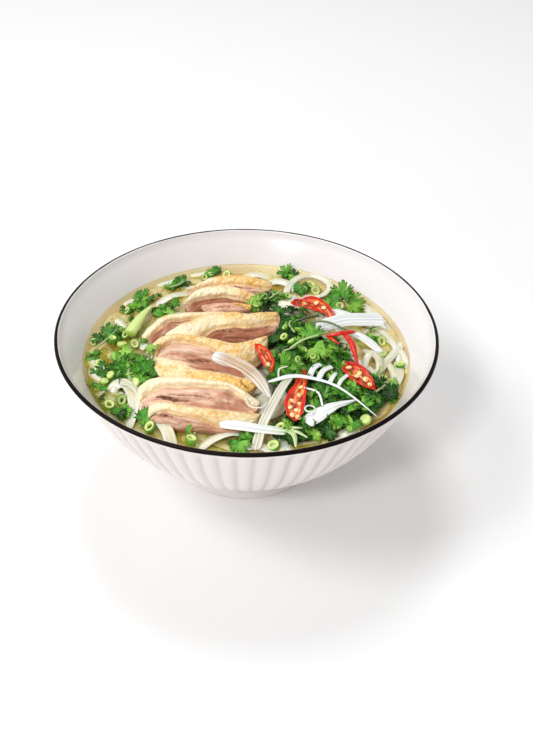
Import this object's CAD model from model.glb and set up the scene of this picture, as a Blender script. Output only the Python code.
"""The looks of a bowl of noodle soup: the fluted bowl, clear broth, flat rice noodles, sliced duck,
cut chili, scallion and coriander. Metres, +Z up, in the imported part's own frame.
"""
import math
import random
from collections import namedtuple

import bpy
from mathutils import Matrix, Vector
from mathutils import noise


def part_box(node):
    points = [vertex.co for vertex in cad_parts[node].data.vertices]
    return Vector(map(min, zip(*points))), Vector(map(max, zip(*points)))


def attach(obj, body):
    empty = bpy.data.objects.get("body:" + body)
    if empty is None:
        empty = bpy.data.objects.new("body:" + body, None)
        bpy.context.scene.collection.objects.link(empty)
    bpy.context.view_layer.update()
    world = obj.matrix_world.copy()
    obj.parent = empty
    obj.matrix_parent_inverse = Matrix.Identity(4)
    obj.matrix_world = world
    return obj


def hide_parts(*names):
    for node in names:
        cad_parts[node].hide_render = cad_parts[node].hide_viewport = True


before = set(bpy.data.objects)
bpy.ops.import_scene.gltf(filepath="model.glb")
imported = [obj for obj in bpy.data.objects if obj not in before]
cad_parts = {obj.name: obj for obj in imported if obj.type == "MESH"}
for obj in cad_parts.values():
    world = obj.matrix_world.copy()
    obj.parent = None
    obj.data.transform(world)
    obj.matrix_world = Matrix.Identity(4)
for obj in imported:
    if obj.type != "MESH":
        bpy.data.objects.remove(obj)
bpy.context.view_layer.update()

MM = 0.001

# The bowl, which is turned like the solid that it covers
RIM_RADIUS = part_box("bowl")[1].x
RIM_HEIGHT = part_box("bowl")[1].z
LIP_RADIUS = 1.3 * MM
FLOOR_TOP = 14.5 * MM
FLOOR_UNDERSIDE = 8.5 * MM
FOOT_RADIUS = 44 * MM
FOOT_WIDTH = 6 * MM
FOOT_HEIGHT = 15 * MM
FLUTES = 72
FLUTE_POINTS = 8
FLUTE_DEPTH = 1.3 * MM
FLUTE_TOP = RIM_HEIGHT - 3 * MM
FLUTE_FOOT = 17 * MM
RIM_LINE = 1.35 * MM

# What fills it
BROTH_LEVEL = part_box("broth")[1].z
BROTH_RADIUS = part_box("broth")[1].x
INTO_WALL = 0.8 * MM
CLEAR_DEPTH = 4.5 * MM


# ---------------------------------------------------------------- finishes

def tint(red, green, blue):
    """A colour given as it looks on a screen, 0 to 255, as the shader wants it."""
    linear = []
    for part in (red, green, blue):
        level = part / 255
        linear.append(level / 12.92 if level < 0.04045 else ((level + 0.055) / 1.055) ** 2.4)
    return (*linear, 1)


class Amount:
    """A number that varies over a surface, and takes part in sums as a plain number does."""

    def __init__(self, finish, socket):
        self.finish = finish
        self.socket = socket

    def sum(self, operation, first, second):
        return self.finish.node("ShaderNodeMath", {"operation": operation}, {0: first, 1: second})

    def __add__(self, other):
        return self.sum("ADD", self, other)

    __radd__ = __add__

    def __sub__(self, other):
        return self.sum("SUBTRACT", self, other)

    def __rsub__(self, other):
        return self.sum("SUBTRACT", other, self)

    def __mul__(self, other):
        return self.sum("MULTIPLY", self, other)

    __rmul__ = __mul__

    def __pow__(self, other):
        return self.sum("POWER", self, other)

    def smaller(self, other):
        return self.sum("MINIMUM", self, other)

    def unsigned(self):
        return self.sum("ABSOLUTE", self, 0)

    def step(self, start, end):
        """0 below the start and 1 above the end, with a soft change between them."""
        settings = {"interpolation_type": "SMOOTHSTEP"}
        return self.finish.node("ShaderNodeMapRange", settings, {"Value": self, 1: start, 2: end})


class Finish:
    """A material under the making."""

    def __init__(self, name):
        self.material = bpy.data.materials.new(name)
        self.material.use_nodes = True
        self.tree = self.material.node_tree
        self.shader = self.tree.nodes["Principled BSDF"]

    def node(self, kind, settings, sockets, output=0):
        """Any node, with its settings made first, then its sockets filled or linked."""
        node = self.tree.nodes.new(kind)
        for name, value in settings.items():
            setattr(node, name, value)
        for name, value in sockets.items():
            self.fill(node.inputs[name], value)
        return Amount(self, node.outputs[output])

    def fill(self, socket, value):
        if isinstance(value, Amount):
            self.tree.links.new(value.socket, socket)
        else:
            socket.default_value = value

    def place(self):
        return self.node("ShaderNodeTexCoord", {}, {}, "Object")

    def lay(self):
        """The place on a bent piece as if it were laid out straight."""
        return self.node("ShaderNodeAttribute", {"attribute_name": "lay"}, {}, "Vector")

    def zones(self, count=3):
        """The first of the three painted masks of a piece."""
        colour = self.node("ShaderNodeAttribute", {"attribute_name": "zones"}, {}, "Color")
        return [self.node("ShaderNodeSeparateColor", {}, {0: colour}, channel) for channel in range(count)]

    def parts(self, vector):
        return [self.node("ShaderNodeSeparateXYZ", {}, {0: vector}, axis) for axis in range(3)]

    def stretched(self, vector, scale):
        return self.node("ShaderNodeMapping", {}, {"Vector": vector, "Scale": scale})

    def cloud(self, vector, scale, detail=2, roughness=0.5, distortion=0.0):
        sockets = {"Vector": vector, "Scale": scale, "Detail": detail, "Roughness": roughness,
                   "Distortion": distortion}
        return self.node("ShaderNodeTexNoise", {}, sockets)

    def cells(self, vector, scale):
        return self.node("ShaderNodeTexVoronoi", {}, {"Vector": vector, "Scale": scale})

    def mix(self, share, first, second):
        return self.node("ShaderNodeMix", {"data_type": "RGBA"}, {0: share, 6: first, 7: second}, 2)

    def two_tints(self, mask, start, end, first, second):
        """One tint where the mask is under the start, and another where it is over the end."""
        return self.mix(mask.step(start, end), tint(*first), tint(*second))

    def bump(self, height, distance, strength=1.0):
        sockets = {"Height": height, "Distance": distance, "Strength": strength}
        normal = self.node("ShaderNodeBump", {}, sockets)
        self.fill(self.shader.inputs["Normal"], normal)

    def shade(self, **sockets):
        """Fill the shader's own sockets, which are named with _ for a space."""
        for name, value in sockets.items():
            self.fill(self.shader.inputs[name.replace("_", " ")], value)
        return self.material


def porcelain():
    finish = Finish("glazed_porcelain")
    x, y, z = finish.parts(finish.place())
    outside, valley = finish.zones(2)
    radius = (x * x + y * y) ** 0.5
    from_lip = ((radius - (RIM_RADIUS - 0.7 * MM)) ** 2 + (z - (RIM_HEIGHT - 0.5 * MM)) ** 2) ** 0.5
    uneven = finish.cloud(finish.place(), 60, 1) * (0.4 * MM)
    line = 1 - (from_lip + uneven).step(RIM_LINE, RIM_LINE + 0.3 * MM)
    speckle = finish.cloud(finish.place(), 25, 3)
    glaze = finish.mix(outside, tint(253, 249, 252), tint(244, 236, 231))
    glaze = finish.mix(speckle * 0.2, glaze, tint(236, 231, 227))
    glaze = finish.mix(valley * 0.6, glaze, tint(206, 194, 187))
    paint = finish.mix(finish.cloud(finish.place(), 90, 2), tint(8, 4, 3), tint(30, 16, 12))
    finish.bump(finish.cloud(finish.place(), 140, 1), 0.05 * MM)
    return finish.shade(Base_Color=finish.mix(line, glaze, paint), Roughness=0.25 + line * 0.2,
                        Metallic=line * 0.8, Coat_Weight=0.3 - line * 0.3, Coat_Roughness=0.08)


def left_to_right(finish):
    """0 at the left of the bowl and 1 at its right, where the broth is paler."""
    x, y, _ = finish.parts(finish.place())
    return (x * 0.9 + y * 0.3).step(-0.075, 0.05)


def broth_surface():
    finish = Finish("broth_surface")
    side = left_to_right(finish)
    colour = finish.mix(side, tint(196, 186, 56), tint(252, 226, 112))
    colour = finish.mix(finish.cloud(finish.place(), 38, 3).step(0.4, 0.65), colour, tint(236, 198, 84))
    finish.bump(finish.cloud(finish.place(), 55, 3), 0.5 * MM, 0.5)
    return finish.shade(Base_Color=colour, Roughness=0.12, Alpha=0.4, Specular_IOR_Level=0.3)


def deep_broth():
    finish = Finish("deep_broth")
    side = left_to_right(finish)
    patch = finish.cloud(finish.place(), 45, 4)
    murk = finish.cloud(finish.place(), 110, 3, 0.6)
    dark = finish.mix(side, tint(146, 136, 28), tint(228, 190, 84))
    light = finish.mix(side, tint(214, 204, 96), tint(252, 232, 152))
    colour = finish.mix(patch.step(0.35, 0.65), dark, light)
    colour = finish.mix(murk.step(0.55, 0.75) * (1 - side) * 0.5, colour, tint(96, 128, 32))
    return finish.shade(Base_Color=colour, Roughness=0.5, Specular_IOR_Level=0.1)


def rice_noodle():
    finish = Finish("rice_noodle")
    lay = finish.lay()
    cloudy = finish.cloud(finish.stretched(lay, (60, 240, 240)), 1, 3)
    stripe = finish.cloud(finish.stretched(lay, (14, 700, 300)), 1, 2)
    colour = finish.two_tints(cloudy, 0.3, 0.7, (242, 240, 230), (224, 218, 186))
    colour = finish.mix(stripe.step(0.45, 0.7) * 0.5, colour, tint(206, 200, 164))
    finish.bump(stripe, 0.2 * MM, 0.6)
    return finish.shade(Base_Color=colour, Roughness=0.3, Coat_Weight=0.3, Coat_Roughness=0.1,
                        Subsurface_Weight=0.3, Subsurface_Scale=0.002)


def cooked_duck():
    finish = Finish("cooked_duck")
    lay = finish.lay()
    skin, cleft, tone = finish.zones()
    fibre = finish.cloud(finish.stretched(lay, (60, 760, 760)), 1, 3, 0.6)
    bundle = finish.cloud(finish.stretched(lay, (45, 380, 380)), 1, 2)
    patch = finish.cloud(finish.stretched(lay, (80, 180, 180)), 1, 3)
    pores = finish.cells(lay, 620)
    fat = finish.cloud(finish.stretched(lay, (160, 320, 320)), 1, 3)
    edge = (skin + (fat - 0.5) * 0.4).step(0.42, 0.56)
    cream = finish.mix((tone + (patch - 0.5) * 0.9).step(0.1, 0.9), tint(255, 243, 208), tint(240, 190, 92))
    cream = finish.mix(fat.step(0.52, 0.74) * tone, cream, tint(222, 150, 66))
    cream = finish.mix((1 - pores.step(0.15, 0.6)) * 0.5, cream, tint(255, 236, 178))
    cream = finish.mix(pores.step(0.5, 0.85) * (0.12 + tone * 0.35), cream, tint(214, 146, 64))
    meat = finish.mix((tone + (patch - 0.5) * 0.6).step(0.05, 0.95), tint(238, 190, 160), tint(156, 88, 48))
    meat = finish.mix(bundle.step(0.48, 0.66) * (0.75 - tone * 0.7), meat, tint(252, 226, 202))
    meat = finish.mix((1 - bundle).step(0.5, 0.68) * 0.5, meat, tint(186, 108, 76))
    meat = finish.mix((1 - fibre).step(0.5, 0.7) * 0.5, meat, tint(158, 82, 48))
    lip = (1 - ((skin - 0.42).unsigned()).step(0.05, 0.3)) * 0.5
    colour = finish.mix(lip, finish.mix(edge, meat, cream), tint(252, 232, 186))
    colour = finish.mix(cleft * 0.85, colour, tint(110, 48, 20))
    height = edge * (pores * 0.7 + patch) + (1 - edge) * (fibre * 1.1 + bundle)
    finish.bump(height, 0.45 * MM, 0.9)
    return finish.shade(Base_Color=colour, Roughness=0.52 - edge * 0.14, Coat_Weight=0.12,
                        Coat_Roughness=0.25, Subsurface_Weight=0.1, Subsurface_Scale=0.001)


def red_chili():
    finish = Finish("cut_chili")
    flesh, groove = finish.zones(2)
    patch = finish.cloud(finish.place(), 260, 3)
    streak = finish.cloud(finish.stretched(finish.lay(), (120, 700, 700)), 1, 3)
    red = finish.two_tints(patch, 0.35, 0.7, (206, 18, 8), (244, 50, 22))
    orange = finish.two_tints(streak, 0.35, 0.65, (230, 62, 18), (252, 168, 90))
    colour = finish.mix((flesh + (streak - 0.5) * 0.8).step(0.35, 0.7), red, orange)
    colour = finish.mix((groove + (patch - 0.5) * 0.4).step(0.25, 0.6) * 0.85, colour, tint(146, 18, 2))
    finish.bump(patch + streak, 0.35 * MM, 0.6)
    return finish.shade(Base_Color=colour, Roughness=0.32 + groove * 0.4, Coat_Weight=0.25 - groove * 0.25,
                        Coat_Roughness=0.1, Specular_IOR_Level=0.35)


def chili_seed():
    finish = Finish("chili_seed")
    patch = finish.cloud(finish.place(), 700, 2)
    colour = finish.two_tints(patch, 0.4, 0.7, (255, 236, 176), (240, 190, 96))
    finish.bump(patch, 0.2 * MM, 0.5)
    return finish.shade(Base_Color=colour, Roughness=0.4, Coat_Weight=0.2)


def white_scallion():
    """Clear layers with pale lines along them, whitest at their edges."""
    finish = Finish("white_scallion")
    lay = finish.lay()
    green, rim, tone = finish.zones()
    stripe = finish.cloud(finish.stretched(lay, (12, 1000, 300)), 1, 2)
    colour = finish.two_tints(stripe, 0.44, 0.66, (255, 255, 253), (220, 226, 225))
    cream = finish.two_tints(stripe, 0.35, 0.6, (252, 240, 214), (222, 186, 150))
    leafy = finish.two_tints(stripe, 0.35, 0.6, (206, 226, 140), (150, 190, 70))
    colour = finish.mix(green, finish.mix(tone, colour, cream), leafy)
    colour = finish.mix(rim.step(0.6, 0.95) * 0.6, colour, tint(254, 254, 250))
    finish.bump(stripe, 0.3 * MM, 0.8)
    clear = tone * (0.35 + stripe.step(0.4, 0.6) * 0.35)
    return finish.shade(Base_Color=colour, Roughness=0.3, Coat_Weight=0.15, Coat_Roughness=0.15,
                        Alpha=1 - clear)


def green_scallion():
    finish = Finish("green_scallion")
    green, _, tone = finish.zones()
    stripe = finish.cloud(finish.stretched(finish.lay(), (60, 900, 900)), 1, 2)
    pale = finish.mix(stripe, tint(238, 248, 178), tint(208, 230, 120))
    bright = finish.mix(stripe, tint(170, 202, 46), tint(132, 182, 30))
    deep = finish.mix(stripe, tint(98, 166, 34), tint(48, 122, 18))
    cut_face = finish.mix(tone, pale, bright)
    outside = finish.mix(tone, bright, deep)
    colour = finish.mix(green.step(0.15, 0.75), cut_face, outside)
    finish.bump(stripe, 0.2 * MM, 0.5)
    return finish.shade(Base_Color=colour, Roughness=0.32, Coat_Weight=0.25, Coat_Roughness=0.1)


def coriander_leaf():
    """Fresh green with fine pale veins that fan out from the leaf's foot."""
    finish = Finish("coriander_leaf")
    tone = finish.zones(1)[0]
    x, y, _ = finish.parts(finish.lay())
    aside = y.unsigned()
    turn = math.radians(50)
    vein = aside.smaller((x * math.sin(turn) - aside * math.cos(turn)).unsigned())
    branch = aside.smaller((x * math.sin(turn / 2.4) - aside * math.cos(turn / 2.4)).unsigned())
    line = 1 - vein.smaller(branch + 0.012).step(0.008, 0.03)
    patch = finish.cloud(finish.place(), 190, 3)
    dark = finish.two_tints(patch, 0.35, 0.65, (9, 46, 4), (26, 88, 8))
    middle = finish.two_tints(patch, 0.35, 0.65, (46, 128, 12), (80, 162, 22))
    light = finish.two_tints(patch, 0.35, 0.65, (122, 192, 46), (172, 218, 98))
    colour = finish.mix(tone.step(0, 0.5), dark, middle)
    colour = finish.mix(tone.step(0.45, 1.0), colour, light)
    colour = finish.mix(line * 0.3, colour, tint(170, 208, 110))
    finish.bump(patch * 0.6 - line * 0.6, 0.35 * MM, 0.7)
    return finish.shade(Base_Color=colour, Roughness=0.42, Specular_IOR_Level=0.35, Coat_Weight=0.08,
                        Coat_Roughness=0.2)


def packed_leaf():
    finish = Finish("packed_leaf")
    crease = finish.cells(finish.place(), 420)
    patch = finish.cloud(finish.place(), 300, 3)
    colour = finish.two_tints(patch, 0.4, 0.62, (14, 46, 6), (46, 104, 16))
    finish.bump(crease, 1.2 * MM, 1.0)
    return finish.shade(Base_Color=colour, Roughness=0.6, Specular_IOR_Level=0.3)


def herb_stem():
    finish = Finish("herb_stem")
    tone = finish.zones(1)[0]
    stripe = finish.cloud(finish.stretched(finish.lay(), (50, 1500, 1500)), 1, 2)
    colour = finish.mix(tone, tint(40, 74, 16), tint(196, 218, 146))
    colour = finish.mix(stripe * 0.4 * tone, colour, tint(228, 238, 190))
    return finish.shade(Base_Color=colour, Roughness=0.35, Coat_Weight=0.2)


def oil_drop():
    finish = Finish("oil_drop")
    patch = finish.cloud(finish.place(), 90, 2)
    colour = finish.mix(patch, tint(236, 214, 110), tint(214, 196, 96))
    return finish.shade(Base_Color=colour, Roughness=0.06, Alpha=0.55, Coat_Weight=0.8)


def pale_floor():
    finish = Finish("pale_floor")
    grain = finish.cloud(finish.place(), 12, 2)
    return finish.shade(Base_Color=finish.mix(grain, tint(250, 250, 250), tint(253, 253, 253)),
                        Roughness=0.9)


# ---------------------------------------------------------------- tools

def deselect():
    bpy.ops.object.select_all(action="DESELECT")


def mm(*points):
    return [Vector(point) * MM for point in points]


def clamp(value):
    return min(max(value, 0), 1)


def grain(x, y, z):
    """Smooth noise at three numbers, from -1 to 1."""
    return noise.noise(Vector((x, y, z)))


def squared(value, power):
    """A coordinate of a round outline, pushed outwards so that the outline gets boxy."""
    return math.copysign(abs(value) ** power, value)


def even(values, t):
    """The value at the fraction t of a row of evenly spaced values, with soft changes."""
    if not isinstance(values, (tuple, list)):
        return values
    last = len(values) - 1
    step = min(int(t * last), last - 1)
    f = t * last - step
    f = f * f * (3 - 2 * f)
    return values[step] * (1 - f) + values[step + 1] * f


class Route:
    """A smooth line through points, with the directions across and through a piece on it. A straight
    piece has its ends cut along the line from its first point to its last."""

    def __init__(self, points, lean=0, straight=False):
        self.points = points
        self.lean = lean
        self.straight = straight
        places = [self.at(i / 40) for i in range(41)]
        self.length = sum((b - a).length for a, b in zip(places, places[1:]))

    def at(self, t):
        last = len(self.points) - 1
        step = max(min(int(t * last), last - 1), 0)
        f = t * last - step
        start = self.points[step]
        end = self.points[step + 1]
        before = self.points[step - 1] if step else 2 * start - end
        after = self.points[step + 2] if step + 2 <= last else 2 * end - start
        slope = (end - before) / 2
        bend = before - 2.5 * start + 2 * end - 0.5 * after
        twist = (after - before + 3 * (start - end)) / 2
        return start + slope * f + bend * f ** 2 + twist * f ** 3

    def axes(self, t):
        if self.straight:
            ahead = self.points[-1] - self.points[0]
        else:
            ahead = self.at(min(t + 0.02, 1)) - self.at(max(t - 0.02, 0))
        ahead = ahead.normalized()
        level = ahead.cross(Vector((0, 0, 1)))
        if level.length < 0.05:
            level = Vector((0, -1, 0))
        level = level.normalized()
        upright = level.cross(ahead)
        lean = math.radians(even(self.lean, t))
        across = level * math.cos(lean) - upright * math.sin(lean)
        through = level * math.sin(lean) + upright * math.cos(lean)
        return across, through


def ball(name, sides, rings):
    deselect()
    bpy.ops.mesh.primitive_uv_sphere_add(segments=sides, ring_count=rings, radius=1)
    piece = bpy.context.active_object
    piece.name = name
    return piece


def paint_piece(piece, places, zones):
    """Keep each point's place on the straightened piece, and its three masks."""
    lay = piece.data.attributes.new("lay", "FLOAT_VECTOR", "POINT")
    lay.data.foreach_set("vector", [number for place in places for number in place])
    masks = piece.data.attributes.new("zones", "FLOAT_COLOR", "POINT")
    masks.data.foreach_set("color", [number for zone in zones for number in (*zone, 1)])


def paint_plain(piece):
    """A piece that isn't bent, and has no masks."""
    places = [tuple(vertex.co) for vertex in piece.data.vertices]
    paint_piece(piece, places, [(0, 0, 0)] * len(places))


def bent(name, route, section, sides, rings):
    """A ball drawn out along a route. section(t, angle) gives how far its skin stands across the
    route and through it, and its three masks."""
    piece = ball(name, sides, rings)
    places = []
    zones = []
    known = {}
    for vertex in piece.data.vertices:
        t = round(1 - math.acos(max(min(vertex.co.z, 1), -1)) / math.pi, 5)
        if t not in known:
            known[t] = (route.at(t), *route.axes(t))
        centre, across, through = known[t]
        ring = vertex.co.xy.length
        angle = math.atan2(-vertex.co.y, -vertex.co.x) % math.tau if ring > 1e-4 else 0
        side, top, masks = section(t, angle)
        vertex.co = centre + across * side + through * top
        places.append((t * route.length, side, top))
        zones.append(masks)
    paint_piece(piece, places, zones)
    piece.data.shade_smooth()
    return piece


def join(name, pieces):
    """Several pieces as one mesh."""
    deselect()
    for piece in pieces:
        piece.select_set(True)
    bpy.context.view_layer.objects.active = pieces[0]
    if len(pieces) > 1:
        bpy.ops.object.join()
    piece = bpy.context.active_object
    piece.name = name
    return piece


def dress(piece, material, slot, *nodes):
    """Give the piece its finish, its place in the frame and the solids that it stands for."""
    piece.data.materials.clear()
    piece.data.materials.append(material)
    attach(piece, "root")
    if nodes:
        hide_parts(*nodes)
    return piece


def scatter(name, models, spots):
    """One mesh with a copy of a model at each spot. A spot is a matrix and a tone."""
    points = []
    faces = []
    places = []
    zones = []
    for number, (matrix, tone) in enumerate(spots):
        model = models[number % len(models)].data
        first = len(points)
        points += [matrix @ vertex.co for vertex in model.vertices]
        faces += [[first + index for index in face.vertices] for face in model.polygons]
        places += [tuple(item.vector) for item in model.attributes["lay"].data]
        for item in model.attributes["zones"].data:
            zones.append((item.color[0] + tone, item.color[1], item.color[2]))
    mesh = bpy.data.meshes.new(name)
    mesh.from_pydata(points, [], faces)
    piece = bpy.data.objects.new(name, mesh)
    bpy.context.scene.collection.objects.link(piece)
    paint_piece(piece, places, zones)
    mesh.shade_smooth()
    return piece


def remove(pieces):
    for piece in pieces:
        bpy.data.objects.remove(piece)


def turned_to(place, up, turn, size):
    """A matrix that puts a model at a place, with its top facing up and turned round it."""
    tilt = Vector((0, 0, 1)).rotation_difference(up).to_matrix().to_4x4()
    return (Matrix.Translation(place) @ tilt @ Matrix.Rotation(turn, 4, "Z")
            @ Matrix.Scale(size, 4))


# ---------------------------------------------------------------- bowl and broth

def curve_points(start, pull_1, pull_2, end, rows):
    """Points of a wall's profile: a smooth curve from start to end, drawn by two pulls."""
    points = []
    for row in range(rows + 1):
        t = row / rows
        weights = ((1 - t) ** 3, 3 * t * (1 - t) ** 2, 3 * t ** 2 * (1 - t), t ** 3)
        point = Vector((0, 0))
        for weight, pull in zip(weights, (start, pull_1, pull_2, end)):
            point += weight * Vector(pull)
        points.append(point)
    return points


def inner_wall(rows):
    return curve_points((0, FLOOR_TOP), (0.706 * RIM_RADIUS, FLOOR_TOP),
                        (0.75 * RIM_RADIUS, 0.643 * RIM_HEIGHT),
                        (RIM_RADIUS - 2 * LIP_RADIUS, RIM_HEIGHT - LIP_RADIUS), rows)


def outer_wall(rows):
    return curve_points((RIM_RADIUS, RIM_HEIGHT - LIP_RADIUS), (0.879 * RIM_RADIUS, 0.713 * RIM_HEIGHT),
                        (0.797 * RIM_RADIUS, 0.383 * RIM_HEIGHT), (FOOT_RADIUS + 1 * MM, FOOT_HEIGHT), rows)


def lip(rows):
    points = []
    for row in range(1, rows):
        angle = math.pi * (1 - row / rows)
        points.append(Vector((RIM_RADIUS - LIP_RADIUS + LIP_RADIUS * math.cos(angle),
                              RIM_HEIGHT - LIP_RADIUS + LIP_RADIUS * math.sin(angle))))
    return points


def foot():
    inside = FOOT_RADIUS - FOOT_WIDTH
    edge = 0.8 * MM
    points = ((FOOT_RADIUS - 0.8 * MM, FOOT_HEIGHT - 2 * MM), (FOOT_RADIUS - 1 * MM, 8 * MM),
              (FOOT_RADIUS - 0.4 * MM, 3 * MM), (FOOT_RADIUS, edge),
              (FOOT_RADIUS - 0.3 * edge, 0.3 * edge), (FOOT_RADIUS - edge, 0),
              (inside + edge, 0), (inside, edge), (inside - 1 * MM, 5 * MM),
              (inside - 2 * MM, FLOOR_UNDERSIDE - 1 * MM), (inside - 4 * MM, FLOOR_UNDERSIDE),
              (0, FLOOR_UNDERSIDE))
    return [Vector(point) for point in points]


def turned(name, profile, steps):
    """A profile turned round the Z axis, with its poles closed."""
    mesh = bpy.data.meshes.new(name)
    mesh.from_pydata([(point.x, 0, point.y) for point in profile],
                     [(i, i + 1) for i in range(len(profile) - 1)], [])
    piece = bpy.data.objects.new(name, mesh)
    bpy.context.scene.collection.objects.link(piece)
    deselect()
    piece.select_set(True)
    bpy.context.view_layer.objects.active = piece
    bpy.ops.object.mode_set(mode="EDIT")
    bpy.ops.mesh.select_all(action="SELECT")
    bpy.ops.mesh.spin(steps=steps, angle=math.tau, center=(0, 0, 0), axis=(0, 0, 1))
    bpy.ops.mesh.select_all(action="SELECT")
    bpy.ops.mesh.remove_doubles(threshold=0.002 * MM)
    bpy.ops.mesh.normals_make_consistent(inside=False)
    bpy.ops.object.mode_set(mode="OBJECT")
    mesh.shade_smooth()
    return piece


def groove(angle, height):
    """How deep the flutes are cut: narrow valleys between round ribs, ending above the foot."""
    rib = abs(math.cos(angle * FLUTES / 2))
    under_rim = clamp((FLUTE_TOP - height) / (4 * MM))
    over_foot = clamp((height - FLUTE_FOOT) / (3 * MM) + rib * 0.6)
    return FLUTE_DEPTH * (1 - rib ** 0.8) * under_rim * over_foot


def make_bowl():
    profile = inner_wall(26) + lip(9) + outer_wall(30) + foot()
    bowl = turned("fluted_bowl", profile, FLUTES * FLUTE_POINTS)
    places = []
    zones = []
    for vertex in bowl.data.vertices:
        out = vertex.co.xy.length
        outside = vertex.normal.xy.dot(vertex.co.xy) > 0 or vertex.co.z < FLOOR_UNDERSIDE + 1 * MM
        inward = 0
        if outside and out > FOOT_RADIUS + 0.5 * MM and FOOT_HEIGHT < vertex.co.z < FLUTE_TOP:
            inward = groove(math.atan2(vertex.co.y, vertex.co.x), vertex.co.z)
            vertex.co.xy *= (out - inward) / out
        places.append(tuple(vertex.co))
        zones.append((1.0 if outside else 0.0, inward / FLUTE_DEPTH, 0))
    paint_piece(bowl, places, zones)
    dress(bowl, porcelain(), "porcelain", "bowl")


def wall_radius(level):
    """The bowl's inner radius at a height."""
    wall = inner_wall(60)
    for low, high in zip(wall, wall[1:]):
        if low.y <= level < high.y:
            return low.x + (high.x - low.x) * (level - low.y) / (high.y - low.y)
    return RIM_RADIUS - 2 * LIP_RADIUS


def make_broth():
    """A clear layer with a raised rim at the wall, over the cloudy broth below it."""
    deep = BROTH_LEVEL - CLEAR_DEPTH
    top = [Vector((0, BROTH_LEVEL))]
    edge = wall_radius(BROTH_LEVEL)
    for part in (0.2, 0.4, 0.6, 0.75, 0.88, 0.95):
        top.append(Vector((edge * part, BROTH_LEVEL)))
    for back, rise in ((2.2, 0.05), (1.2, 0.2), (0.5, 0.5), (-0.7, 1.0)):
        top.append(Vector((edge - back * MM, BROTH_LEVEL + rise * MM)))
    under = [Vector((wall_radius(deep) + INTO_WALL, deep)), Vector((0, deep))]
    layer = turned("broth_layer", top + under, 180)
    dress(layer, broth_surface(), "broth", "broth")
    body = [Vector((0, deep - 0.2 * MM))]
    for level in (deep - 0.2 * MM, 60 * MM, 48 * MM, 36 * MM, 25 * MM, 18 * MM):
        body.append(Vector((wall_radius(level) + INTO_WALL, level)))
    body.append(Vector((0, FLOOR_TOP - 0.5 * MM)))
    dress(turned("cloudy_broth", body, 120), deep_broth(), "broth", "broth")


# ---------------------------------------------------------------- duck

Slice = namedtuple("Slice", "node route width depth lean blunt skin_from skin_to gold brown cuts")
# The widths, depths and routes are in mm and the leans in degrees. skin_from and skin_to say where the skin
# starts and ends, as shares of the way down the slice, and gold and brown how dark its skin and its meat are,
# each at even steps along it. A cut runs from (along, down) to (along, down), with its width and depth in mm.

# How far the skin band and the cut face stand up, and how deep the seam between them is, in mm
SKIN_RISE = 1.3
FACE_RISE = 2.3
SEAM_DEPTH = 1.8

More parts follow.
